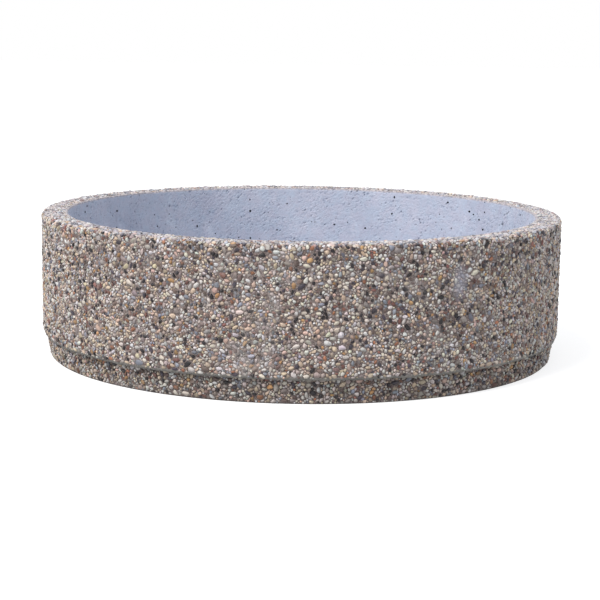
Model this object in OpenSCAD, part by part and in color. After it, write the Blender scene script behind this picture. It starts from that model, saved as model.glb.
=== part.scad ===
// Round bowl planter in precast concrete.
// A facing of exposed river gravel wraps a plain grey bowl. The bowl holds a steel cage,
// four drain sleeves and four lifting sockets. The planter stands on the plane z = 0,
// with its axis on Z. All sizes are in millimetres.

/* [Body] */
// Outside diameter of the wall
outer_d = 1200; // [900:10:1600]
// Overall height, to the crown of the rim
height = 328; // [280:1:450]
// Width of the rim, from the inner face to the outer face
rim_w = 60; // [56:1:90]
// Radius of the rim's outer edge
rim_edge_r = 12; // [4:1:20]
// Radius of the rim's slightly domed top
rim_top_r = 120; // [100:5:300]
// Radius of the wall's lower outer edge
wall_edge_r = 5; // [2:1:5]

/* [Plinth] */
// Height of the recessed plinth under the smooth band
plinth_h = 52; // [30:1:80]
// How far the plinth's top sits in from the wall
plinth_top_in = 10; // [8:1:14]
// How far the plinth's foot sits in from the wall
plinth_foot_in = 16; // [14:1:20]
// Radius of the plinth's lower edge
plinth_edge_r = 4; // [1:1:6]
// Height of the smooth band between the plinth and the wall
band_h = 6; // [4:1:10]
// How far the smooth band sits in from the wall
band_in = 5; // [5:1:7]

/* [Bowl] */
// Thickness of the floor
floor_t = 70; // [66:1:110]
// Draft of the inner face
inner_draft = 3; // [1:0.5:5]
// Radius of the cove between the floor and the inner face
cove_r = 45; // [20:5:80]
// Radius of the rim's inner edge
inner_edge_r = 3; // [1:0.5:4]

/* [Facing] */
// Thickness of the facing on the wall
facing_t = 22; // [18:1:24]
// Thickness of the facing on the rim
cap_t = 22; // [16:1:28]
// Thickness of the facing at the plinth's foot
plinth_facing_t = 18; // [12:1:22]
// Width of the grey arris that borders the facing on the rim
arris_w = 5; // [4:1:8]

/* [Steel cage] */
// Diameter of the bars
bar_d = 6; // [5:0.5:8]
// Space between bars where they cross
tie_gap = 0.3; // [0.2:0.1:1]
// Cover from the plinth's facing to the bent bars
bent_bar_cover = 3; // [1:1:6]
// Number of hoops in the wall
hoop_count = 4; // [2:1:5]
// Cover from the floor's top face to the lowest hoop
low_hoop_cover = 27; // [20:1:40]
// Cover from the facing on the rim to the highest hoop
top_hoop_cover = 10; // [8:1:30]
// Cover from the facing on the rim to the bent bars' upper tips
bent_bar_tip_cover = 4; // [2:1:8]
// Number of bent bars round the wall
bent_bar_count = 12; // [6, 12]
// Radius of each bent bar's bend, on its middle line
bend_r = 18; // [15:1:25]
// Space between a drain sleeve and the foot of the bent bar that points at it
foot_tip_gap = 30; // [20:5:60]
// Cover from the underside to the bent bars' feet
foot_cover = 22; // [15:1:26]
// Number of floor bars each way
floor_bar_count = 6; // [4, 6, 8]
// Distance from the facing to the outermost floor bars
floor_bar_edge = 191; // [170:1:210]
// Cover from the facing to the floor bars' tips
floor_bar_cover = 66; // [40:1:90]

/* [Drainage] */
// Number of drain sleeves
drain_count = 4; // [1, 2, 4]
// Outside diameter of a drain sleeve
drain_d = 40; // [25:1:60]
// Wall of a drain sleeve
drain_wall = 2; // [1.5:0.5:4]

/* [Lifting] */
// Number of lifting sockets
socket_count = 4; // [2, 4]
// Outside diameter of a lifting socket
socket_d = 24; // [20:1:30]
// Length of a lifting socket
socket_l = 50; // [45:1:54]
// Tapping diameter of the M16 thread
thread_d = 14; // [12:0.1:16]
// Depth of the thread
thread_depth = 40; // [20:1:44]
// Side of a socket's square anchor plate
plate_side = 60; // [50:1:80]
// Thickness of a socket's anchor plate
plate_t = 6; // [4:1:8]

/* [Hidden] */
$fn = 180;

outer_r = outer_d / 2;
rim_inner_r = outer_r - rim_w;
arris_r = rim_inner_r + arris_w;
wall_low_z = plinth_h + band_h;

// The rim's domed top is highest halfway across the facing, and its outer edge rounds off into it
rim_top_centre = [(outer_r + arris_r) / 2, height - rim_top_r];
arris_z = rim_top_centre[1] + sqrt(pow(rim_top_r, 2) - pow(rim_top_centre[0] - arris_r, 2));
rim_edge_in = outer_r - rim_edge_r - rim_top_centre[0];
rim_edge_up = sqrt(pow(rim_top_r - rim_edge_r, 2) - pow(rim_edge_in, 2));
rim_edge_centre = rim_top_centre + [rim_edge_in, rim_edge_up];
rim_join = atan2(rim_edge_up, rim_edge_in);
rim_top_end = atan2(arris_z - rim_top_centre[1], arris_r - rim_top_centre[0]);

// Where the grey bowl meets the facing
bowl_wall_r = outer_r - facing_t;
bowl_foot_r = outer_r - plinth_foot_in - plinth_facing_t;
bowl_shoulder_z = height - cap_t;
step_z = wall_low_z;
step_h = bowl_wall_r - bowl_foot_r;

// Radius of the inner face at a height
function inner_r(z) = rim_inner_r - (arris_z - z) * tan(inner_draft);

// The floor bars make a grid of square cells. Drains and sockets stand in the outermost ones.
floor_bar_pitch = 2 * (bowl_foot_r - floor_bar_edge) / (floor_bar_count - 1);
floor_bar_tip_r = bowl_foot_r - floor_bar_cover;
outer_cell = (floor_bar_count / 2 - 1) * floor_bar_pitch;
drain_place_r = outer_cell;
socket_place_r = outer_cell * sqrt(2);

// The cage, from the facing inwards and from the underside upwards
upright_r = bowl_foot_r - bent_bar_cover - bar_d / 2;
hoop_r = upright_r - bar_d - tie_gap;
low_hoop_z = floor_t + low_hoop_cover + bar_d / 2;
top_hoop_z = bowl_shoulder_z - top_hoop_cover - bar_d / 2;
upright_top_z = bowl_shoulder_z - bent_bar_tip_cover;
foot_z = foot_cover + bar_d / 2;
foot_tip_r = drain_place_r + drain_d / 2 + foot_tip_gap;
floor_bar_x_z = foot_z + bar_d + tie_gap;
floor_bar_y_z = floor_bar_x_z + bar_d + tie_gap;
socket_low_z = floor_t - socket_l;

// How far a cut runs past the face that it opens
cut_past = 1;

facing_colour = [0.62, 0.56, 0.50];
concrete_colour = [0.66, 0.69, 0.75];
bar_colour = [0.36, 0.25, 0.20];
zinc_colour = [0.70, 0.72, 0.73];
sleeve_colour = [0.30, 0.31, 0.32];

// Names of a row of like pieces, such as drain_sleeve_1 to drain_sleeve_4
function numbered(name, count) = [for (i = [1:count]) str(name, "_", i)];

HOOPS = numbered("hoop", hoop_count);
BENT_BARS = numbered("bent_bar", bent_bar_count);
FLOOR_BARS_X = numbered("floor_bar_x", floor_bar_count);
FLOOR_BARS_Y = numbered("floor_bar_y", floor_bar_count);
DRAIN_SLEEVES = numbered("drain_sleeve", drain_count);
LIFTING_SOCKETS = numbered("lifting_socket", socket_count);
ANCHOR_PLATES = numbered("anchor_plate", socket_count);

// Points of an arc from one angle to another about [r, z]
function arc(centre, radius, from, to, steps = 8) = [
    for (i = [0:steps]) let (a = from + (to - from) * i / steps)
        centre + radius * [cos(a), sin(a)]
];

// All points but the first
function tail(points) = [for (i = [1:len(points) - 1]) points[i]];

// The facing's section: plinth, smooth band, wall and rim, as [radius, height]
function facing_section() = concat(
    [[bowl_foot_r, 0]],
    arc([outer_r - plinth_foot_in - plinth_edge_r, plinth_edge_r], plinth_edge_r, -90, 0),
    [[outer_r - plinth_top_in, plinth_h]],
    [[outer_r - band_in, plinth_h]],
    [[outer_r - band_in, wall_low_z]],
    arc([outer_r - wall_edge_r, wall_low_z + wall_edge_r], wall_edge_r, -90, 0),
    arc(rim_edge_centre, rim_edge_r, 0, rim_join),
    tail(arc(rim_top_centre, rim_top_r, rim_join, rim_top_end)),
    [[arris_r, bowl_shoulder_z]],
    [[bowl_wall_r, bowl_shoulder_z]],
    [[bowl_wall_r, step_z + step_h]],
    [[bowl_foot_r, step_z]]
);

// The grey bowl's section, with its arris, inner face and cove
function bowl_section() = let (
    lean = inner_draft,
    edge_z = arris_z - inner_edge_r,
    edge = [inner_r(edge_z) + inner_edge_r / cos(lean), edge_z],
    cove_z = floor_t + cove_r,
    cove = [inner_r(cove_z) - cove_r / cos(lean), cove_z]
) concat(
    [[0, 0], [bowl_foot_r, 0], [bowl_foot_r, step_z], [bowl_wall_r, step_z + step_h]],
    [[bowl_wall_r, bowl_shoulder_z], [arris_r, bowl_shoulder_z], [arris_r, arris_z]],
    arc(edge, inner_edge_r, 90, 180 - lean, 4),
    arc(cove, cove_r, -lean, -90, 12),
    [[0, floor_t]]
);

module revolved(section) {
    rotate_extrude() polygon(section);
}

module facing() {
    color(facing_colour) revolved(facing_section());
}

module bowl() {
    color(concrete_colour) difference() {
        revolved(bowl_section());
        for (i = [1:hoop_count]) hoop(i);
        for (i = [1:bent_bar_count]) bent_bar(i);
        for (i = [1:floor_bar_count]) {
            floor_bar_x(i);
            floor_bar_y(i);
        }
        for (i = [1:drain_count]) at_drain(i) through_floor(drain_d);
        for (i = [1:socket_count]) {
            at_socket(i) down_from_floor(socket_l, socket_d);
            anchor_plate(i);
        }
    }
}

// Cuts for a hole right through the floor, and for one that stops at a depth
module through_floor(d) {
    translate([0, 0, -cut_past]) cylinder(h = floor_t + 2 * cut_past, d = d);
}

module down_from_floor(depth, d) {
    translate([0, 0, floor_t - depth]) cylinder(h = depth + cut_past, d = d);
}

// One ring of bar in the wall, counted from the lowest
module hoop(i) {
    level = low_hoop_z + (top_hoop_z - low_hoop_z) * (i - 1) / max(hoop_count - 1, 1);
    color(bar_colour) translate([0, 0, level]) rotate_extrude() translate([hoop_r, 0]) circle(d = bar_d);
}

// A bar that runs down the wall and turns in under the floor bars
module bent_bar(i) {
    upright_h = upright_top_z - foot_z - bend_r;
    foot_l = upright_r - bend_r - foot_tip_r;
    turn = (i - 1) * 360 / bent_bar_count;
    color(bar_colour) rotate([0, 0, turn]) translate([upright_r - bend_r, 0, foot_z + bend_r]) {
        translate([bend_r, 0, 0]) cylinder(h = upright_h, d = bar_d);
        rotate([90, 0, 0]) rotate([0, 0, -90]) rotate_extrude(angle = 90) translate([bend_r, 0])
            circle(d = bar_d);
        translate([0, 0, -bend_r]) rotate([0, -90, 0]) cylinder(h = foot_l, d = bar_d);
    }
}

// Distance of a floor bar from the axis, and half its length
function floor_bar_at(i) = (i - (floor_bar_count + 1) / 2) * floor_bar_pitch;
function floor_bar_half(i) = sqrt(pow(floor_bar_tip_r, 2) - pow(floor_bar_at(i), 2));

module floor_bar_x(i) {
    half = floor_bar_half(i);
    color(bar_colour) translate([-half, floor_bar_at(i), floor_bar_x_z]) rotate([0, 90, 0])
        cylinder(h = 2 * half, d = bar_d);
}

module floor_bar_y(i) {
    half = floor_bar_half(i);
    color(bar_colour) translate([floor_bar_at(i), half, floor_bar_y_z]) rotate([90, 0, 0])
        cylinder(h = 2 * half, d = bar_d);
}

// Drains stand on the axes, in the middle of the floor bars' cells
module at_drain(i) {
    rotate([0, 0, (i - 1) * 360 / drain_count]) translate([drain_place_r, 0, 0]) children();
}

module drain_sleeve(i) {
    color(sleeve_colour) at_drain(i) difference() {
        cylinder(h = floor_t, d = drain_d);
        through_floor(drain_d - 2 * drain_wall);
    }
}

// Sockets stand on the diagonals, between the drains
module at_socket(i) {
    rotate([0, 0, 45 + (i - 1) * 360 / socket_count]) translate([socket_place_r, 0, 0]) children();
}

module lifting_socket(i) {
    color(zinc_colour) at_socket(i) difference() {
        translate([0, 0, socket_low_z]) cylinder(h = socket_l, d = socket_d);
        down_from_floor(thread_depth, thread_d);
    }
}

module anchor_plate(i) {
    color(zinc_colour) at_socket(i) translate([-plate_side / 2, -plate_side / 2, socket_low_z - plate_t])
        cube([plate_side, plate_side, plate_t]);
}

facing();
bowl();
for (i = [1:hoop_count]) hoop(i);
for (i = [1:bent_bar_count]) bent_bar(i);
for (i = [1:floor_bar_count]) floor_bar_x(i);
for (i = [1:floor_bar_count]) floor_bar_y(i);
for (i = [1:drain_count]) drain_sleeve(i);
for (i = [1:socket_count]) lifting_socket(i);
for (i = [1:socket_count]) anchor_plate(i);
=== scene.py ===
import math

import bmesh
import bpy
import numpy as np
from mathutils import Matrix, Vector, noise


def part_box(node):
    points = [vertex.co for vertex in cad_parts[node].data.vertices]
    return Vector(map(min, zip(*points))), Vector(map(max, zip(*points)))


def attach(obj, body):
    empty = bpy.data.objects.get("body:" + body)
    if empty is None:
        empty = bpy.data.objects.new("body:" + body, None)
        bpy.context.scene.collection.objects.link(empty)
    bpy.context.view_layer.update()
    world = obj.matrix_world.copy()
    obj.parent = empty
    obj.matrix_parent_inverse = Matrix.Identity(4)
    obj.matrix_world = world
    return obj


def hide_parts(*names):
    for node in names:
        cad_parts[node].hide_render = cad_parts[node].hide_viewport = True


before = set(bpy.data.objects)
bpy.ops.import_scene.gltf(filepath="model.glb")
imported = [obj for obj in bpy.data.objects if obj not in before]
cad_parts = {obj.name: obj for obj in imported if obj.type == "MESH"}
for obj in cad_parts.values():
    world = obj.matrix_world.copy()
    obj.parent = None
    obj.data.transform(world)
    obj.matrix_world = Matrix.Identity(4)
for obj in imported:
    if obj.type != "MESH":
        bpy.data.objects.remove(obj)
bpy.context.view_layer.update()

# ------------------------------------------------------------------ sizes
MM = 0.001
FULL_TURN = 2 * math.pi

# Read from the frame
OUTER_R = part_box("facing")[1].x
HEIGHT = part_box("facing")[1].z
BOWL_WALL_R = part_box("bowl")[1].x
ARRIS_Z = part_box("bowl")[1].z
FLOOR_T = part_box("drain_sleeve_1")[1].z
DRAINS = ["drain_sleeve_1", "drain_sleeve_2", "drain_sleeve_3", "drain_sleeve_4"]
SOCKETS = ["lifting_socket_1", "lifting_socket_2", "lifting_socket_3", "lifting_socket_4"]

# Facing
RIM_W = 60 * MM
RIM_EDGE_R = 12 * MM
RIM_TOP_R = 120 * MM
WALL_EDGE_R = 5 * MM
ARRIS_W = 5 * MM
CAP_T = 22 * MM
PLINTH_H = 52 * MM
PLINTH_TOP_IN = 10 * MM
PLINTH_FOOT_IN = 16 * MM
PLINTH_FACING_T = 18 * MM
PLINTH_EDGE_R = 4 * MM
BAND_H = 6 * MM
BAND_IN = 5 * MM

# Bowl
INNER_DRAFT = math.radians(3)
INNER_EDGE_R = 3 * MM
COVE_R = 45 * MM

RIM_INNER_R = OUTER_R - RIM_W
ARRIS_R = RIM_INNER_R + ARRIS_W
WALL_LOW_Z = PLINTH_H + BAND_H
BOWL_FOOT_R = OUTER_R - PLINTH_FOOT_IN - PLINTH_FACING_T
SHOULDER_Z = HEIGHT - CAP_T
STEP_TOP_Z = WALL_LOW_Z + BOWL_WALL_R - BOWL_FOOT_R

# Steps in the sections' arcs, along their lines, and round the planter
LOW_EDGE_STEPS = 8
RIM_STEPS = 12
FOOT_STEPS = 6
INNER_EDGE_STEPS = 4
COVE_STEPS = 12
WASHED_STEP = 4 * MM
INSIDE_STEP = 9 * MM
FLOOR_STEPS = 12
FACING_STEPS = 320
BOWL_STEPS = 560
# Points of a section closer than this are one
WELD = 0.01 * MM

# How deep the mortar is washed out below the pebbles' crowns
WASHED_DEPTH = 3.6 * MM
# How far in from a bare edge the mortar takes to fall to that depth
WASHED_RUN = 3 * MM

# The gravel's lines leave out this many points of the rounded edge that they start from. Beside the band
# the wall's last stones stand a little in and down, and the plinth's top ones a little out.
EDGE_POINTS_OUT = 5
WALL_STONES_IN = 1.3 * MM
WALL_STONES_DOWN = 1.5 * MM
PLINTH_STONES_OUT = 2 * MM

# The smear of cement on the wall
SMEAR_MIDDLE = (0.325, -0.504, 0.24)
SMEAR_HALF_W = 17 * MM
SMEAR_HALF_H = 34 * MM


# ------------------------------------------------------------------ lines in the section
def arc(centre, radius, start, end, steps):
    """Points (r, z) round a centre, from one angle in degrees to another."""
    angles = np.radians(np.linspace(start, end, steps + 1))
    return [(centre[0] + radius * math.cos(a), centre[1] + radius * math.sin(a)) for a in angles]


def inner_r(z):
    """Radius of the bowl's drafted inner face at a height."""
    return RIM_INNER_R - (ARRIS_Z - z) * math.tan(INNER_DRAFT)


def wall_line():
    """The gravelled skin from the wall's lower edge up, over the rim and in to the arris."""
    low_centre = (OUTER_R - WALL_EDGE_R, WALL_LOW_Z + WALL_EDGE_R)
    low_edge = arc(low_centre, WALL_EDGE_R, -90, 0, LOW_EDGE_STEPS)
    # The domed top is an arc, highest halfway across the gravel, and the outer edge rounds off into it
    top_centre = ((OUTER_R + ARRIS_R) / 2, HEIGHT - RIM_TOP_R)
    edge_in = OUTER_R - RIM_EDGE_R - top_centre[0]
    edge_up = math.sqrt((RIM_TOP_R - RIM_EDGE_R) ** 2 - edge_in ** 2)
    edge_centre = (top_centre[0] + edge_in, top_centre[1] + edge_up)
    join = math.degrees(math.atan2(edge_up, edge_in))
    inner_end = math.degrees(math.acos((ARRIS_R - top_centre[0]) / RIM_TOP_R))
    rim_edge = arc(edge_centre, RIM_EDGE_R, 0, join, RIM_STEPS)
    return low_edge + rim_edge + arc(top_centre, RIM_TOP_R, join, inner_end, RIM_STEPS)[1:]


def plinth_line():
    """The gravelled skin of the plinth, from its foot to the ledge under the band."""
    foot_centre = (OUTER_R - PLINTH_FOOT_IN - PLINTH_EDGE_R, PLINTH_EDGE_R)
    return arc(foot_centre, PLINTH_EDGE_R, -90, 0, FOOT_STEPS) + [(OUTER_R - PLINTH_TOP_IN, PLINTH_H)]


def wall_stone_line():
    """The wall's skin as the pebbles follow it, down over its rounded edge and the band's top."""
    return [(OUTER_R - WALL_STONES_IN, WALL_LOW_Z - WALL_STONES_DOWN)] + wall_line()[EDGE_POINTS_OUT:]


def plinth_stone_line():
    """The plinth's skin as the pebbles follow it, a little fuller under the band."""
    top = (OUTER_R - PLINTH_TOP_IN + PLINTH_STONES_OUT, PLINTH_H)
    return plinth_line()[EDGE_POINTS_OUT:-1] + [top]


def inner_line():
    """The bowl's bare inside, from the arris over the edge, down the face and round the cove."""
    lean = math.degrees(INNER_DRAFT)
    edge_z = ARRIS_Z - INNER_EDGE_R
    edge_centre = (inner_r(edge_z) + INNER_EDGE_R / math.cos(INNER_DRAFT), edge_z)
    cove_z = FLOOR_T + COVE_R
    cove_centre = (inner_r(cove_z) - COVE_R / math.cos(INNER_DRAFT), cove_z)
    edge = arc(edge_centre, INNER_EDGE_R, 90, 180 - lean, INNER_EDGE_STEPS)
    return edge + arc(cove_centre, COVE_R, -lean, -90, COVE_STEPS)


def even_line(points, step):
    """The same line cut at even steps, as (distance, points, outward normals)."""
    points = np.array(points)
    marks = np.concatenate([[0], np.cumsum(np.hypot(*np.diff(points, axis=0).T))])
    distance = np.linspace(0, marks[-1], max(2, round(marks[-1] / step)) + 1)
    even = np.stack([np.interp(distance, marks, points[:, axis]) for axis in (0, 1)], axis=1)
    along = np.gradient(even, distance, axis=0)
    along /= np.linalg.norm(along, axis=1, keepdims=True)
    return distance, even, np.stack([along[:, 1], -along[:, 0]], axis=1)


def washed(points, bare_ends):
    """A skin line sunk to the mortar's level. With bare ends it stays at the skin there."""
    distance, even, outward = even_line(points, WASHED_STEP)
    depth = np.full(len(distance), WASHED_DEPTH)
    if bare_ends:
        from_end = np.minimum(distance, distance[-1] - distance)
        depth = np.minimum(depth, WASHED_DEPTH * from_end / WASHED_RUN)
    return [tuple(p) for p in even - outward * depth[:, None]]


# ------------------------------------------------------------------ pieces
def spun_section(points, steps, closed):
    """A section turned once round the planter's axis."""
    shape = bmesh.new()
    verts = [shape.verts.new((r, 0, z)) for r, z in points]
    for first, second in zip(verts, verts[1:]):
        shape.edges.new((first, second))
    if closed:
        shape.edges.new((verts[-1], verts[0]))
    bmesh.ops.spin(shape, geom=shape.verts[:] + shape.edges[:], cent=(0, 0, 0), axis=(0, 0, 1),
                   angle=FULL_TURN, steps=steps, use_merge=True)
    bmesh.ops.remove_doubles(shape, verts=shape.verts, dist=WELD)
    bmesh.ops.recalc_face_normals(shape, faces=shape.faces)
    shape.normal_update()
    return shape


def wobble(place, size, height):
    """Noise at a place, up to a height or down to as much, in waves about as long as a size."""
    return height * noise.noise(place / size)


def new_mesh(name, shape):
    """A mesh made from a bmesh, which is freed."""
    mesh = bpy.data.meshes.new(name)
    shape.to_mesh(mesh)
    shape.free()
    return mesh


def new_object(name, data):
    """An object in the scene."""
    made = bpy.data.objects.new(name, data)
    bpy.context.scene.collection.objects.link(made)
    return made


def new_piece(name, shape, slot, *materials):
    """Makes a bmesh a named piece of the planter."""
    mesh = new_mesh(name, shape)
    for material in materials:
        mesh.materials.append(material)
    mesh.shade_smooth()
    piece = new_object(name, mesh)
    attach(piece, "root")
    return piece


# ------------------------------------------------------------------ node helpers
def srgb(hex_value):
    """An sRGB hex colour as linear RGBA."""
    parts = [int(hex_value[i:i + 2], 16) / 255 for i in (0, 2, 4)]
    linear = [p / 12.92 if p <= 0.04045 else ((p + 0.055) / 1.055) ** 2.4 for p in parts]
    return (*linear, 1.0)


def add(tree, kind, inputs=None, **settings):
    """Adds a node, sets its properties, and fills its inputs, known by name or by number.

    What fills an input is a value, a socket, or another node, which gives its first output."""
    node = tree.nodes.new("ShaderNode" + kind)
    for name, value in settings.items():
        setattr(node, name, value)
    for name, value in (inputs or {}).items():
        by_name = [socket for socket in node.inputs if socket.name == name and socket.enabled]
        target = by_name[0] if by_name else node.inputs[name]
        if isinstance(value, bpy.types.Node):
            value = next(s for s in value.outputs if s.enabled)
        if isinstance(value, bpy.types.NodeSocket):
            tree.links.new(value, target)
        else:
            target.default_value = value
    return node


def new_material(name):
    """An empty node material and the place on the object that its patterns are drawn from."""
    material = bpy.data.materials.new(name)
    material.use_nodes = True
    tree = material.node_tree
    tree.nodes.clear()
    return material, tree, add(tree, "TexCoord").outputs["Object"]


def clouds(tree, place, size, detail, roughness=0.5):
    """Noise in clouds about as wide as a size, from 0 to 1 and mostly near 0.5."""
    inputs = {"Vector": place, "Scale": 1 / size, "Detail": detail, "Roughness": roughness}
    return add(tree, "TexNoise", inputs)


def cells(tree, place, size):
    """A Voronoi pattern of cells about as wide as a size."""
    return add(tree, "TexVoronoi", {"Vector": place, "Scale": 1 / size})


def ramp(tree, value, start=0.0, end=1.0, low=0.0, high=1.0):
    """What goes from low to high while a value goes from start to end, and stays there beyond."""
    inputs = {"Value": value, "From Min": start, "From Max": end, "To Min": low, "To Max": high}
    return add(tree, "MapRange", inputs)


def blend(tree, share, colour, over):
    """A colour under a share of another. Each is a node, a socket or an sRGB hex value."""
    under, over = (srgb(c) if isinstance(c, str) else c for c in (colour, over))
    return add(tree, "Mix", {"Factor": share, "A": under, "B": over}, data_type="RGBA")


def shaded(tree, colour, by):
    """A colour multiplied by a tone or by another colour."""
    inputs = {"Factor": 1.0, "A": colour, "B": by}
    return add(tree, "Mix", inputs, data_type="RGBA", blend_type="MULTIPLY")


def height_of(tree, place):
    """How high on the planter a place is."""
    return add(tree, "SeparateXYZ", {"Vector": place}).outputs["Z"]


def bumps(tree, height, strength, depth, **normal):
    """Bumps of a depth in metres, negative for hollows. A Normal carries an earlier set of bumps."""
    return add(tree, "Bump", {"Height": height, "Strength": strength, "Distance": depth, **normal})


def surface(tree, colour, roughness, bump, **fixed):
    """Ends a material in one shader. What is the same all over is set on the shader itself."""
    inputs = {"Base Color": colour, "Roughness": roughness, "Normal": bump, **fixed}
    add(tree, "OutputMaterial", {"Surface": add(tree, "BsdfPrincipled", inputs)})


# ------------------------------------------------------------------ materials
def filmed(tree, place, colour, least, most):
    """The same colour under cement that the washing left: filmy clouds a hand wide, and a paler rim."""
    cloud = clouds(tree, place, size=70 * MM, detail=4.0, roughness=0.65)
    film = ramp(tree, cloud, start=0.55, end=0.68, low=least, high=most)
    colour = blend(tree, film, colour, "aba39e")
    patch = clouds(tree, place, size=22 * MM, detail=4.0, roughness=0.7)
    left_on = ramp(tree, patch, start=0.4, end=0.62, low=0.22, high=0.64)
    height = height_of(tree, place)
    rim = ramp(tree, height, start=HEIGHT - 6 * MM, end=HEIGHT - 1.5 * MM, high=left_on)
    return blend(tree, rim, colour, "b4b6c0")


def smeared(tree, place, colour):
    """The same colour under the wall's one bluish smear of cement, high at the right of the front."""
    away = add(tree, "VectorMath", {0: place, 1: SMEAR_MIDDLE}, operation="SUBTRACT")
    across, up = 1 / SMEAR_HALF_W, 1 / SMEAR_HALF_H
    shares = add(tree, "VectorMath", {0: away, 1: (across, across, up)}, operation="MULTIPLY")
    reach = add(tree, "VectorMath", {0: shares}, operation="LENGTH")
    uneven = clouds(tree, place, size=9 * MM, detail=4.0, roughness=0.7)
    edge = add(tree, "Math", {0: uneven, 1: 1.4, 2: reach}, operation="MULTIPLY_ADD")
    smear = ramp(tree, edge, start=2.1, end=1.2, high=0.72)
    return blend(tree, smear, colour, "abaab4")


def weathered_and_shaded(tree, place, colour, least, most):
    """The same colour under film and smear, with the plinth below the band darkened by painted shade."""
    colour = smeared(tree, place, filmed(tree, place, colour, least, most))
    # Painted shade: the whole plinth below the band is darkened, as if the wall above shaded it
    plinth_shade = ramp(tree, height_of(tree, place), start=PLINTH_H, end=PLINTH_H - 4 * MM, high=0.2)
    return blend(tree, plinth_shade, colour, "1c1a18")


def pebble_material():
    """Washed river gravel: quartz, limestone, flint and granite, dry and matt, each stone mottled."""
    material, tree, place = new_material("washed_river_gravel")
    stone = add(tree, "Attribute", attribute_name="stone_colour")
    mottle = clouds(tree, place, size=3.5 * MM, detail=3.0)
    mottled = shaded(tree, stone, ramp(tree, mottle, start=0.3, end=0.7, low=0.74, high=1.22))
    mineral = clouds(tree, place, size=0.8 * MM, detail=2.0)
    grained = shaded(tree, mottled, ramp(tree, mineral, start=0.3, end=0.7, low=0.85, high=1.13))
    colour = weathered_and_shaded(tree, place, grained, least=0.01, most=0.3)
    rough = ramp(tree, mottle, start=0.3, end=0.7, low=0.45, high=0.7)
    pits = clouds(tree, place, size=1.2 * MM, detail=2.0)
    surface(tree, colour, rough, bumps(tree, pits, strength=0.25, depth=0.4 * MM))
    return material


def mortar_material():
    """Sand and cement washed back between pebbles: matt brownish grey, each grain in its own tone."""
    material, tree, place = new_material("washed_mortar")
    grain = cells(tree, place, size=1.7 * MM)
    tone = ramp(tree, grain.outputs["Color"], start=0.2, end=0.8)
    colour = weathered_and_shaded(tree, place, blend(tree, tone, "524845", "9e908a"), least=0.0, most=0.6)
    rough = ramp(tree, tone, low=0.8, high=0.95)
    surface(tree, colour, rough, bumps(tree, grain.outputs["Distance"], strength=0.6, depth=-0.6 * MM))
    return material


def band_material():
    """Cement paste from the mould's joint: smooth, warm grey, with paler sandy spots."""
    material, tree, place = new_material("smooth_cement_band")
    cloud = clouds(tree, place, size=12 * MM, detail=6.0, roughness=0.7)
    colour = blend(tree, ramp(tree, cloud, start=0.35, end=0.65), "72716c", "9b9791")
    rough = ramp(tree, cloud, low=0.65, high=0.85)
    surface(tree, colour, rough, bumps(tree, cloud, strength=0.3, depth=1.0 * MM))
    return material


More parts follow.
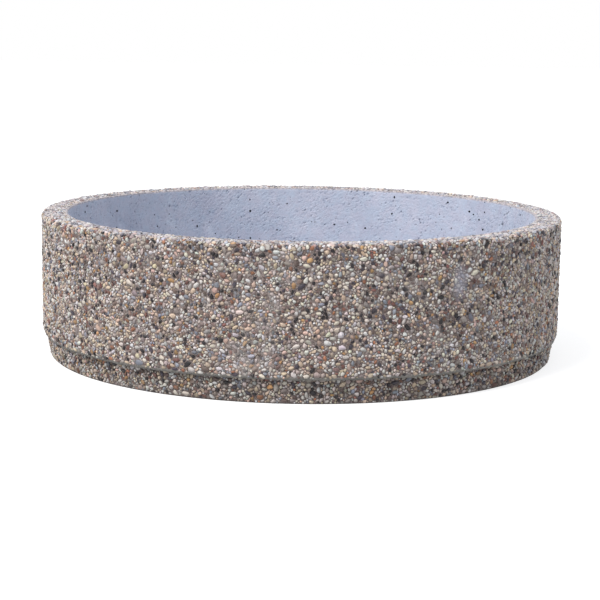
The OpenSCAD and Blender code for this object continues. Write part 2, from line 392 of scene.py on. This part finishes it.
def concrete_material():
    """Grey concrete from a smooth mould: bluish cement skin with pale bloom, ripples and dents, and
    painted shade in their hollows.
    """
    material, tree, place = new_material("form_cast_concrete")
    height = height_of(tree, place)
    cloud = clouds(tree, place, size=160 * MM, detail=5.0, roughness=0.6)
    colour = blend(tree, ramp(tree, cloud, start=0.35, end=0.65), "a9afbe", "b8bdca")
    bloom = clouds(tree, place, size=55 * MM, detail=6.0, roughness=0.7)
    colour = blend(tree, ramp(tree, bloom, start=0.55, end=0.7, high=0.7), colour, "c8ced9")
    # Lime and damp tint it faintly, in patches
    lime = clouds(tree, place, size=26 * MM, detail=4.0, roughness=0.7)
    tint = blend(tree, ramp(tree, lime, start=0.4, end=0.6), "fafeff", "fffbfb")
    colour = shaded(tree, colour, tint)
    speck = clouds(tree, place, size=1.5 * MM, detail=3.0)
    colour = shaded(tree, colour, ramp(tree, speck, start=0.3, end=0.7, low=0.92, high=1.07))

    # The ripples climb to the right all the way round, so their pattern is turned with its height
    turn = add(tree, "Math", {0: height, 1: 0.4 / RIM_INNER_R}, operation="MULTIPLY")
    turned = add(tree, "VectorRotate", {"Vector": place, "Angle": turn}, rotation_type="Z_AXIS")
    ripple = clouds(tree, turned, size=7 * MM, detail=3.0, roughness=0.6)
    # Ripples and dents crowd together in patches, with smoother skin between
    patch = clouds(tree, place, size=60 * MM, detail=3.0)
    crowd = ramp(tree, patch, start=0.4, end=0.56, low=0.45)
    # Painted shade: the ripples' hollows are darkened in colour, most where they crowd together
    hollow = ramp(tree, ripple, start=0.42, end=0.28, high=crowd)
    colour = blend(tree, hollow, colour, "848b9f")
    cell = cells(tree, turned, size=12 * MM)
    present = ramp(tree, cell.outputs["Color"], start=0.4, end=0.6, high=crowd)
    dent = ramp(tree, cell.outputs["Distance"], start=0.34, end=0.1, high=present)
    # Painted shade: the dents' cores are darkened in colour
    colour = blend(tree, ramp(tree, dent, start=0.55, high=0.85), colour, "5c6276")
    stain = clouds(tree, place, size=28 * MM, detail=3.0)
    colour = blend(tree, ramp(tree, stain, start=0.74, end=0.8, high=0.5), colour, "7d6d68")

    # The washing of the rim leaves the sharp edge sandy and warmer in colour, along an uneven line
    sandy = clouds(tree, place, size=6 * MM, detail=4.0, roughness=0.7)
    uneven = add(tree, "Math", {0: sandy, 1: 8 * MM, 2: height}, operation="MULTIPLY_ADD")
    rubbed = ramp(tree, uneven, start=ARRIS_Z - 1 * MM, end=ARRIS_Z + 2 * MM, high=0.85)
    edge = blend(tree, ramp(tree, sandy, start=0.4, end=0.6), "756d6e", "c3bbbb")
    colour = blend(tree, rubbed, colour, edge)

    rough = ramp(tree, bloom, low=0.72, high=0.92)
    swing = add(tree, "Math", {0: ripple, 1: 0.5}, operation="SUBTRACT")
    relief = add(tree, "Math", {0: swing, 1: crowd}, operation="MULTIPLY")
    rippled = bumps(tree, relief, strength=1.0, depth=3.2 * MM)
    dented = bumps(tree, dent, strength=1.0, depth=-1.6 * MM, Normal=rippled)
    pores = clouds(tree, place, size=4 * MM, detail=3.0)
    surface(tree, colour, rough, bumps(tree, pores, strength=0.4, depth=0.6 * MM, Normal=dented))
    return material


def air_hole_shade_material():
    """Painted shade on the cement skin inside the air's holes: dark, mottled bluish grey."""
    material, tree, place = new_material("air_hole_shade")
    blotch = clouds(tree, place, size=2 * MM, detail=3.0)
    colour = blend(tree, ramp(tree, blotch, start=0.3, end=0.7), "1c1f26", "3b3e48")
    rough = ramp(tree, blotch, low=0.8, high=0.95)
    surface(tree, colour, rough, bumps(tree, blotch, strength=0.5, depth=0.3 * MM))
    return material


def bar_material():
    """Hot-rolled reinforcing bar: blue-grey mill scale with brown rust where it has flaked."""
    material, tree, place = new_material("hot_rolled_bar")
    flake = clouds(tree, place, size=14 * MM, detail=6.0)
    rust = ramp(tree, flake, start=0.48, end=0.56)
    colour = blend(tree, rust, "5c5f63", "7a4a2e")
    rough = ramp(tree, rust, low=0.5, high=0.9)
    surface(tree, colour, rough, bumps(tree, flake, strength=0.4, depth=0.3 * MM), Metallic=0.6)
    return material


def zinc_material():
    """Zinc-plated steel: pale, faintly bluish, dulled by cement dust."""
    material, tree, place = new_material("bright_zinc_plating")
    blotch = clouds(tree, place, size=5 * MM, detail=4.0)
    tone = ramp(tree, blotch, start=0.35, end=0.65)
    colour = blend(tree, tone, "b9bec2", "9a9c9b")
    rough = ramp(tree, tone, low=0.35, high=0.6)
    surface(tree, colour, rough, bumps(tree, blotch, strength=0.15, depth=0.2 * MM), Metallic=1.0)
    return material


def sleeve_material():
    """Extruded grey PVC pipe: even and slightly glossy, scuffed at the cut end."""
    material, tree, place = new_material("grey_pvc")
    scuff = clouds(tree, place, size=4 * MM, detail=5.0)
    tone = ramp(tree, scuff, start=0.4, end=0.7)
    colour = blend(tree, tone, "50545a", "6a6d70")
    rough = ramp(tree, tone, low=0.4, high=0.65)
    surface(tree, colour, rough, bumps(tree, scuff, strength=0.1, depth=0.2 * MM))
    return material


# ------------------------------------------------------------------ mortar behind the gravel
def facing_mortar():
    """The facing's mortar, washed back on wall, rim and plinth, and smooth on the band."""
    under = [(BOWL_FOOT_R, WALL_LOW_Z), (BOWL_FOOT_R, 0)]
    back = [(ARRIS_R, SHOULDER_Z), (BOWL_WALL_R, SHOULDER_Z), (BOWL_WALL_R, STEP_TOP_Z)] + under
    ledge = [(OUTER_R - BAND_IN, PLINTH_H)]
    plinth, wall = washed(plinth_line(), bare_ends=False), washed(wall_line(), bare_ends=True)
    section = plinth + ledge + wall + back
    section[0] = (section[0][0], 0)
    shape = spun_section(section, FACING_STEPS, closed=True)
    band_top = WALL_LOW_Z + 0.5 * MM
    for vert in shape.verts:
        radius = math.hypot(vert.co.x, vert.co.y)
        on_side = radius > BOWL_WALL_R + 5 * MM and vert.co.z > PLINTH_EDGE_R
        on_rim = vert.co.z > ARRIS_Z - 5 * MM
        if on_side or on_rim:
            vert.co += vert.normal * wobble(vert.co, size=14 * MM, height=0.5 * MM)
        # The band's edges waver
        if radius > OUTER_R - BAND_IN - 1 * MM and vert.co.z < band_top:
            vert.co.z += wobble(vert.co, size=16 * MM, height=1.6 * MM)
    for face in shape.faces:
        in_band = PLINTH_H - 1 * MM < face.calc_center_median().z < band_top
        face.material_index = 1 if in_band else 0
    piece = new_piece("facing_mortar", shape, "exposed_gravel", mortar_material(), band_material())
    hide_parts("facing")


# ------------------------------------------------------------------ gravel
# Pebble sizes across, and the share of the skin that each is laid to cover
GRADING = [
    (14, 0.012), (12, 0.035), (10.5, 0.06), (9, 0.11), (7.5, 0.16),
    (6.2, 0.18), (5, 0.16), (4, 0.14), (3.2, 0.12),
]
# Widths of stones over their size, and lengths over their width. SHORT is for those without room.
WIDTHS = (0.9, 1.08)
LONGEST = 1.9
SHORT = 1.08
# How far a stone may stand over the end of its skin
OVERHANG = 2.5 * MM
# Each size is laid in rounds. The first takes free spots anywhere, for this share of the size. The others
# take spots where the free room is at most BESIDE more than needed, close beside the stones laid before.
LAYING_ROUNDS = 6
FIRST_SHARE = 0.35
BESIDE = 1.5 * MM
# Room that a stone needs at its middle and at its ends, over its half width
MIDDLE_ROOM = 0.95
END_ROOM = 0.72
TURNS_TRIED = 5
# Step of the map of free room
CELL = 1.0 * MM
# Stones in one piece
MOST_IN_PIECE = 4000

# Stones with a half width over this get finer meshes
FINE_HALF_WIDTH = 3.3 * MM
SHARP_STONE_EDGE = math.radians(38)
# Stones are worn lumps with faces left from the rock's breaking, which lie this far from the middle, in
# half axes. FLATTENED is how much of what stands over one is taken off.
LUMP_HEIGHT = 0.3
LUMPS_ACROSS = 1.5
BROKEN_FACES = 8
BROKEN_OFF = (0.55, 0.85)
FLATTENED = 0.97
# Where a stone is cut below its middle, and the most of it that stands out of the mortar, in half depths
CUT_LEVEL = -0.35
MOST_OUT = 1.2
# Depths of stones over their width, and the deepest one's half depth
DEPTHS = (0.7, 1.0)
MOST_HALF_DEPTH = 5 * MM
# How far stones lean either way, in radians
MOST_LEAN = 0.3
# How far their crowns stand out of the skin, in millimetres, and how much further on the rim's top, with
# a second rise over the last of its width, up to the arris
PROUD = (-2.0, 0.3)
TOP_RISE = 0.8 * MM
ARRIS_RISE = 1.5 * MM
ARRIS_RISE_W = 14 * MM
# A skin or a face lies level if its normal is more upright or more upside down than this
LEVEL = 0.9

# Colours of the gravel, with the share of the pebbles and the share of the grit that has each
# The darkest kinds, 38323c and 120d14, are partly real black stones and partly painted shade: dark stones
# put in for deep gaps between stones
STONE_COLOURS = [
    ("d3d1ce", 0.12, 0.17), ("ccc3b5", 0.12, 0.12), ("bca994", 0.12, 0.12),
    ("c4a899", 0.045, 0.04), ("c6b59c", 0.045, 0.045), ("beb7b1", 0.12, 0.14),
    ("9d918c", 0.11, 0.14), ("82858e", 0.08, 0.07), ("736059", 0.075, 0.08),
    ("38323c", 0.05, 0.03), ("120d14", 0.085, 0.035), ("8d6048", 0.028, 0.014),
    ("aa865d", 0.03, 0.014), ("714d45", 0.04, 0.025),
]
# Stones with a half width up to this take the grit's shares
GRIT_HALF_WIDTH = 2.8 * MM
# Spread of the stones' lightness and of their tint, as powers of e, and the brightest that one may be
LIGHTNESS_SPREAD = 0.17
TINT_SPREAD = 0.03
BRIGHTEST = 0.64

# Where a pebble's sides and its cut underside lie in its bake map: middle, and reach of its half axes
SIDES_IN_MAP = (0.5, 0.44)
UNDERSIDE_IN_MAP = (0.05, 0.03)


def fitted_turn(clear, row, column, lead, squeeze, rng):
    """The best of a few turns for a stone, and the room that its two ends have there."""
    rows, columns = clear.shape
    best, turn = 0.0, 0.0
    for trial in rng.uniform(0, math.pi, TURNS_TRIED):
        up, aside = lead * math.sin(trial), lead * math.cos(trial) / squeeze
        if not 0 <= row - abs(up) or not row + abs(up) < rows - 1:
            continue
        ends = [clear[round(row + s * up), round(column + s * aside) % columns] for s in (-1, 1)]
        if min(ends) > best:
            best, turn = min(ends), trial
    return best, turn


def lay_pebbles(line, grading, rng):
    """Packs pebbles on a skin line turned round the axis, biggest first.

    Each one takes a free spot beside those laid before it, and is turned to where there is room.
    Rows of (distance along the line, angle, half length, half width, turn)."""
    distance, points, _ = even_line(line, CELL)
    rows = len(distance)
    columns = round(FULL_TURN * OUTER_R / CELL)
    from_end = np.minimum(distance, distance[-1] - distance)
    clear = np.repeat(from_end[:, None] + OVERHANG, columns, axis=1)
    flat = clear.reshape(-1)
    area = distance[-1] * FULL_TURN * OUTER_R
    pebbles = []
    for size, share in grading:
        width = size * MM / 2
        room = width * MIDDLE_ROOM
        reach = math.ceil((width * LONGEST + room) / CELL)
        window = np.arange(-reach, reach + 1)
        # A hair off the middle, so that nothing is divided by 0 there
        across = np.repeat(window[None, :] * CELL + 0.001 * MM, len(window), axis=0)
        along = np.repeat(window[:, None] * CELL, len(window), axis=1)
        laid = 0.0
        for attempt in range(LAYING_ROUNDS):
            beside = np.flatnonzero((flat >= room) & (flat < room + BESIDE)) if attempt else []
            spots = beside if len(beside) else np.flatnonzero(flat >= room)
            rng.shuffle(spots)
            quota = share * area * (1.0 if attempt else FIRST_SHARE)
            for spot in spots:
                if laid >= quota:
                    break
                if flat[spot] < room:
                    continue
                row, column = divmod(int(spot), columns)
                squeeze = points[row, 0] / OUTER_R
                half_width = width * rng.uniform(*WIDTHS)
                half_length = half_width * rng.uniform(1.0, LONGEST)
                lead = (half_length - half_width) / CELL
                best, turn = fitted_turn(clear, row, column, lead, squeeze, rng)
                if best < half_width * END_ROOM:
                    half_length = half_width * SHORT
                # How far each cell near it is from the stone's edge
                x, y = across * squeeze, along
                span = np.hypot(x, y)
                u = (x * math.cos(turn) + y * math.sin(turn)) / half_length
                v = (y * math.cos(turn) - x * math.sin(turn)) / half_width
                gap = span - span / np.hypot(u, v)
                low, high = max(0, row - reach), min(rows, row + reach + 1)
                near = (column + window) % columns
                part = clear[low:high, near]
                clear[low:high, near] = np.minimum(part, gap[low - row + reach:high - row + reach])
                angle = column / columns * FULL_TURN
                pebbles.append((distance[row], angle, half_length, half_width, turn))
                laid += math.pi * half_length * half_width
    return np.array(pebbles)


def pebble_shape(seed, rounds):
    """One worn pebble with half axes of 1, cut flat under the mortar, with its own bake map."""
    rng = np.random.default_rng(seed)
    shape = bmesh.new()
    bmesh.ops.create_icosphere(shape, subdivisions=rounds, radius=1.0)
    shift = Vector(rng.uniform(-50, 50, 3))
    for vert in shape.verts:
        vert.co *= 1 + LUMP_HEIGHT * noise.noise(vert.co * LUMPS_ACROSS + shift)
    for _ in range(BROKEN_FACES):
        # More of them are on the sides than above
        way = Vector(rng.normal(size=3) * (1, 1, 0.7)).normalized()
        broken_at = rng.uniform(*BROKEN_OFF)
        for vert in shape.verts:
            over = vert.co.dot(way) - broken_at
            if over > 0:
                vert.co -= way * over * FLATTENED
    reach = [max(abs(vert.co[axis]) for vert in shape.verts) for axis in range(3)]
    bmesh.ops.scale(shape, vec=[1 / r for r in reach], verts=shape.verts)
    whole = shape.verts[:] + shape.edges[:] + shape.faces[:]
    cut = bmesh.ops.bisect_plane(shape, geom=whole, dist=0.01, plane_co=(0, 0, CUT_LEVEL),
                                 plane_no=(0, 0, -1), clear_outer=True)
    rim = [e for e in cut["geom_cut"] if isinstance(e, bmesh.types.BMEdge)]
    bmesh.ops.holes_fill(shape, edges=rim, sides=0)
    bmesh.ops.recalc_face_normals(shape, faces=shape.faces)
    bake_map = shape.loops.layers.uv.new("OFBake")
    for face in shape.faces:
        face.smooth = True
        middle, spread = UNDERSIDE_IN_MAP if face.normal.z < -LEVEL else SIDES_IN_MAP
        for loop in face.loops:
            x, y = loop.vert.co.x, loop.vert.co.y
            loop[bake_map].uv = (middle + x * spread, middle + y * spread)
    return new_mesh(f"pebble_shape_{seed}", shape)


def standing_proud(out_z, from_top_end, half_depth, rng):
    """How far a stone's crown stands out of the skin. Most lie a little below it."""
    proud = min(rng.uniform(*PROUD) * MM, half_depth * MOST_OUT - WASHED_DEPTH)
    proud += TOP_RISE * max(0, out_z)
    if out_z > LEVEL:
        proud += ARRIS_RISE * max(0, 1 - from_top_end / ARRIS_RISE_W)
    return proud


def gravel_piece(name, line, pebbles, shapes, colours, material, rng):
    """Pebbles standing in the skin, as separate closed stones in one piece."""
    distance, points, outward = even_line(line, CELL)
    shape = bmesh.new()
    vert_counts, loop_counts = [], []
    for place, angle, half_length, half_width, turn in pebbles:
        row = min(len(distance) - 1, round(place / distance[1]))
        (r, z), (out_r, out_z) = points[row], outward[row]
        cos, sin = math.cos(angle), math.sin(angle)
        round_way = Vector((-sin, cos, 0))
        out_way = Vector((out_r * cos, out_r * sin, out_z))
        up_way = out_way.cross(round_way)
        half_depth = min(half_width * rng.uniform(*DEPTHS), MOST_HALF_DEPTH)
        proud = standing_proud(out_z, distance[-1] - place, half_depth, rng)
        crown = Vector((r * cos, r * sin, z)) + out_way * proud
        stand = Matrix((round_way, up_way, out_way)).transposed()
        tip = Matrix.Rotation(rng.uniform(-MOST_LEAN, MOST_LEAN), 3, "X")
        roll = Matrix.Rotation(rng.uniform(-MOST_LEAN, MOST_LEAN), 3, "Y")
        axes = Matrix.Diagonal((half_length, half_width, half_depth))
        turned = stand @ (tip @ roll) @ Matrix.Rotation(turn, 3, "Z") @ axes
        kinds = shapes["pebble"] if half_width > FINE_HALF_WIDTH else shapes["grit"]
        stone = kinds[int(rng.integers(len(kinds)))].copy()
        stone.transform(Matrix.Translation(crown - out_way * half_depth) @ turned.to_4x4())
        shape.from_mesh(stone)
        # Stones that lie together were tipped in together, so they are a little alike
        colours[len(vert_counts), :3] *= math.exp(wobble(crown, size=17 * MM, height=0.9))
        vert_counts.append(len(stone.vertices))
        loop_counts.append(len(stone.loops))
        bpy.data.meshes.remove(stone)
    colours[:, :3] *= np.minimum(1, BRIGHTEST / colours[:, :3].max(axis=1, keepdims=True))
    piece = new_piece(name, shape, "exposed_gravel", material)
    mesh = piece.data
    mesh.set_sharp_from_angle(angle=SHARP_STONE_EDGE)
    tints = mesh.attributes.new("stone_colour", "FLOAT_COLOR", "POINT")
    tints.data.foreach_set("color", np.repeat(colours, vert_counts, axis=0).astype(np.float32).ravel())
    # Each stone gets a cell of its own in the bake map
    side = math.ceil(math.sqrt(len(pebbles)))
    map_cells = np.stack(np.divmod(np.arange(len(pebbles)), side), axis=1)
    bake_map = mesh.uv_layers["OFBake"].data
    uv = np.empty(len(mesh.loops) * 2, np.float32)
    bake_map.foreach_get("uv", uv)
    uv = (uv.reshape(-1, 2) + np.repeat(map_cells, loop_counts, axis=0)) / side
    bake_map.foreach_set("uv", uv.astype(np.float32).ravel())
    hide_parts("facing")


def tinted(half_widths, rng):
    """Colours for stones, each near one of the gravel's kinds. Most dark ones are larger stones."""
    count = len(half_widths)
    picked = []
    for column in (1, 2):
        shares = np.array([row[column] for row in STONE_COLOURS])
        picked.append(rng.choice(len(STONE_COLOURS), size=count, p=shares / shares.sum()))
    kinds = np.where(half_widths > GRIT_HALF_WIDTH, *picked)
    colours = np.array([srgb(row[0]) for row in STONE_COLOURS])[kinds]
    lightness = rng.normal(0, LIGHTNESS_SPREAD, (count, 1))
    colours[:, :3] *= np.exp(lightness + rng.normal(0, TINT_SPREAD, (count, 3)))
    return colours


def gravel(name, line, grading, seed, shapes, material):
    """All the gravel on one skin, in full rings of at most MOST_IN_PIECE stones."""
    rng = np.random.default_rng(seed)
    pebbles = lay_pebbles(line, grading, rng)
    pebbles = pebbles[np.argsort(pebbles[:, 0], kind="stable")]
    rings = math.ceil(len(pebbles) / MOST_IN_PIECE)
    for number, ring in enumerate(np.array_split(pebbles, rings), start=1):
        gravel_piece(f"{name}_{number}", line, ring, shapes, tinted(ring[:, 3], rng), material, rng)


# ------------------------------------------------------------------ bowl
AIR_HOLES = 1100
AIR_HOLE_SEED = 31
# Radius of the smallest in millimetres, and how much more the largest has
SMALLEST_AIR_HOLE = 0.8
AIR_HOLE_SPREAD = 3.4
# Air holes over this radius get finer meshes
FINE_AIR_HOLE_R = 1.4 * MM
# How deep in the concrete an air hole's middle lies, in radii, and how much deeper the largest's does
AIR_HOLE_IN = 0.1
AIR_HOLE_SINK = 0.6
# Air holes' three axes over their radius
AIR_HOLE_AXES = (0.75, 1.25)
# Steps of the inner line beside the arris that have no air holes
WHOLE_STEPS = 5
ROUND_CUT_SEGMENTS = 64
# How far cutters reach past the faces that they open
CUT_PAST = 10 * MM
SHARP_BOWL_EDGE = math.radians(50)


def air_hole_cutter(rng):
    """Small uneven balls that stand where air was trapped against the mould."""
    distance, points, outward = even_line(inner_line(), CELL)
    cutter = bmesh.new()
    for _ in range(AIR_HOLES):
        row = int(rng.integers(WHOLE_STEPS, len(distance) - 1))
        angle = rng.uniform(0, FULL_TURN)
        # Most of them are near the smallest size
        size = rng.random() ** 4
        radius = (SMALLEST_AIR_HOLE + AIR_HOLE_SPREAD * size) * MM
        r, z = points[row] - outward[row] * radius * (AIR_HOLE_IN + AIR_HOLE_SINK * size)
        centre = Matrix.Translation((r * math.cos(angle), r * math.sin(angle), z))
        squash = Matrix.Diagonal((*rng.uniform(*AIR_HOLE_AXES, 3), 1.0))
        rounds = 2 if radius > FINE_AIR_HOLE_R else 1
        bmesh.ops.create_icosphere(cutter, subdivisions=rounds, radius=radius, matrix=centre @ squash)
    # The air holes' faces take the second material, the painted shade inside them
    for face in cutter.faces:
        face.material_index = 1
    return cutter


def add_round_cut(cutter, node, low_z, high_z):
    """A round cut as wide as a CAD node, between two heights."""
    low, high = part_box(node)
    middle = Vector(((low.x + high.x) / 2, (low.y + high.y) / 2, (low_z + high_z) / 2))
    radius = (high.x - low.x) / 2
    bmesh.ops.create_cone(cutter, cap_ends=True, segments=ROUND_CUT_SEGMENTS, radius1=radius,
                          radius2=radius, depth=high_z - low_z, matrix=Matrix.Translation(middle))


def cut_out(piece, cutter):
    """Takes a cutter's shape out of a piece."""
    mesh = new_mesh("cutter", cutter)
    for material in piece.data.materials:
        mesh.materials.append(material)
    tool = new_object("cutter", mesh)
    cut = piece.modifiers.new("cut", "BOOLEAN")
    cut.operation = "DIFFERENCE"
    cut.solver = "MANIFOLD"
    cut.object = tool
    bpy.context.view_layer.update()
    whole = piece.data
    evaluated = piece.evaluated_get(bpy.context.evaluated_depsgraph_get())
    piece.data = bpy.data.meshes.new_from_object(evaluated)
    piece.data.name = piece.name
    piece.modifiers.clear()
    bpy.data.meshes.remove(whole)
    bpy.data.objects.remove(tool)
    bpy.data.meshes.remove(mesh)


def bowl_section():
    """Half the bowl's outline, from the axis out underneath, up, over the arris and back in."""
    outside = [(0, 0), (BOWL_FOOT_R, 0), (BOWL_FOOT_R, WALL_LOW_Z), (BOWL_WALL_R, STEP_TOP_Z)]
    outside += [(BOWL_WALL_R, SHOULDER_Z), (ARRIS_R, SHOULDER_Z), (ARRIS_R, ARRIS_Z)]
    edge = [tuple(p) for p in inner_line()[:INNER_EDGE_STEPS]]
    _, inside, _ = even_line(inner_line(), INSIDE_STEP)
    floor = [(r, FLOOR_T) for r in np.linspace(inside[-1][0], 0, FLOOR_STEPS)[1:]]
    return outside + edge + [tuple(p) for p in inside[1:]] + floor


def bowl_casting():
    """The plain grey bowl: arris, inner face, cove and floor, with its holes and its trapped air."""
    shape = spun_section(bowl_section(), BOWL_STEPS, closed=False)
    for vert in shape.verts:
        radius = math.hypot(vert.co.x, vert.co.y)
        # The arris is worn unevenly
        if vert.co.z > ARRIS_Z - 2 * MM:
            vert.co += vert.normal * wobble(vert.co, size=8 * MM, height=1.2 * MM)
        # The mould's inner face was never quite true
        if FLOOR_T - 1 * MM < vert.co.z < ARRIS_Z - 4 * MM and radius < inner_r(vert.co.z) + 1 * MM:
            swell_mm = wobble(vert.co, size=110 * MM, height=0.9)
            swell_mm += wobble(vert.co, size=32 * MM, height=0.35)
            vert.co += vert.normal * swell_mm * MM
    piece = new_piece("bowl_casting", shape, "grey_concrete", concrete_material(), air_hole_shade_material())
    cutter = air_hole_cutter(np.random.default_rng(AIR_HOLE_SEED))
    for node in DRAINS:
        add_round_cut(cutter, node, -CUT_PAST, FLOOR_T + CUT_PAST)
    for node in SOCKETS:
        add_round_cut(cutter, node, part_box(node)[0].z, FLOOR_T + CUT_PAST)
    cut_out(piece, cutter)
    piece.data.shade_smooth()
    piece.data.set_sharp_from_angle(angle=SHARP_BOWL_EDGE)
    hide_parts("bowl")


# ------------------------------------------------------------------ build
PEBBLE_SEEDS = range(1, 13)
GRIT_SEEDS = range(21, 27)
WALL_SEED = 5
PLINTH_SEED = 6

stone_material = pebble_material()
facing_mortar()
pebble_shapes = {
    "pebble": [pebble_shape(seed, rounds=2) for seed in PEBBLE_SEEDS],
    "grit": [pebble_shape(seed, rounds=1) for seed in GRIT_SEEDS],
}
gravel("wall_gravel", wall_stone_line(), GRADING, WALL_SEED, pebble_shapes, stone_material)
# The plinth has none of the largest size
gravel("plinth_gravel", plinth_stone_line(), GRADING[1:], PLINTH_SEED, pebble_shapes, stone_material)
for kind in pebble_shapes.values():
    for mesh in kind:
        bpy.data.meshes.remove(mesh)
bowl_casting()

# The cast-in parts are shown as the CAD has them
CAST_IN = [
    (("hoop", "bent_bar", "floor_bar"), bar_material()),
    (("lifting_socket", "anchor_plate"), zinc_material()),
    (("drain_sleeve",), sleeve_material()),
]
for name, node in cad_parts.items():
    for starts, finish in CAST_IN:
        if name.startswith(starts):
            node.data.materials.clear()
            node.data.materials.append(finish)


# ------------------------------------------------------------------ stage, light and camera
FLOOR_HALF_SIDE = 30.0
FLOOR_GLOW = 0.74
SKY_COLOUR = (0.91, 0.935, 1.0, 1)
SKY_STRENGTH = 0.86
SUN_ENERGY = 2.7
SUN_ANGLE = math.radians(22)
SUN_COLOUR = (1.0, 0.965, 0.95)
SUN_WAY = (0.44, 0.38, -0.8)
WHITE = (1, 1, 1, 1)

# The photograph's view: lens in millimetres, place in metres, turn, dip and roll in radians
SENSOR_W = 36.0
LENS = 95.42
CAMERA_PLACE = (0.0, -3.6905, 0.7413)
CAMERA_TURN = 0.0003
CAMERA_DIP = 0.1685
CAMERA_ROLL = 0.0142


def seen_white(tree, strength):
    """A strength that holds for camera, gloss and glass rays, and is 0 for light on the object."""
    path = add(tree, "LightPath")
    straight = path.outputs["Is Camera Ray"]
    for name in ("Is Glossy Ray", "Is Transmission Ray"):
        straight = add(tree, "Math", {0: straight, 1: path.outputs[name]}, operation="MAXIMUM")
    return add(tree, "Math", {0: straight, 1: strength}, operation="MULTIPLY")


def stage_floor():
    """A white floor. It looks white to the camera, keeps the shadow and gives back little light."""
    shape = bmesh.new()
    bmesh.ops.create_grid(shape, x_segments=1, y_segments=1, size=FLOOR_HALF_SIDE)
    mesh = new_mesh("stage_floor", shape)
    material, tree, _ = new_material("white_paper_floor")
    matt = add(tree, "BsdfDiffuse", {"Color": srgb("a8a8a8")})
    glow = add(tree, "Emission", {"Color": WHITE, "Strength": seen_white(tree, FLOOR_GLOW)})
    add(tree, "OutputMaterial", {"Surface": add(tree, "AddShader", {0: matt, 1: glow})})
    mesh.materials.append(material)
    new_object("stage_floor", mesh)


def studio_world():
    """A pale bluish sky that lights the planter, behind a white that only the camera sees."""
    world = bpy.data.worlds.new("studio")
    bpy.context.scene.world = world
    world.use_nodes = True
    tree = world.node_tree
    tree.nodes.clear()
    sky = add(tree, "Background", {"Color": SKY_COLOUR, "Strength": SKY_STRENGTH})
    paper = add(tree, "Background", {"Color": WHITE, "Strength": 1.0})
    either = add(tree, "MixShader", {0: seen_white(tree, 1.0), 1: sky, 2: paper})
    add(tree, "OutputWorld", {"Surface": either})


def soft_sun():
    """A wide, faintly warm sun from the front left."""
    lamp = bpy.data.lights.new("soft_sun", "SUN")
    lamp.energy = SUN_ENERGY
    lamp.angle = SUN_ANGLE
    lamp.color = SUN_COLOUR
    new_object("soft_sun", lamp).rotation_euler = Vector(SUN_WAY).to_track_quat("-Z", "Y").to_euler()


def photo_camera():
    """The camera, where the photograph was taken from."""
    lens = bpy.data.cameras.new("camera")
    lens.sensor_width = SENSOR_W
    lens.lens = LENS
    camera = new_object("camera", lens)
    camera.matrix_world = (
        Matrix.Translation(CAMERA_PLACE)
        @ Matrix.Rotation(CAMERA_TURN, 4, "Z")
        @ Matrix.Rotation(math.pi / 2 - CAMERA_DIP, 4, "X")
        @ Matrix.Rotation(CAMERA_ROLL, 4, "Z")
    )
    bpy.context.scene.camera = camera


stage_floor()
studio_world()
soft_sun()
photo_camera()
bpy.context.scene.view_settings.view_transform = "Standard"
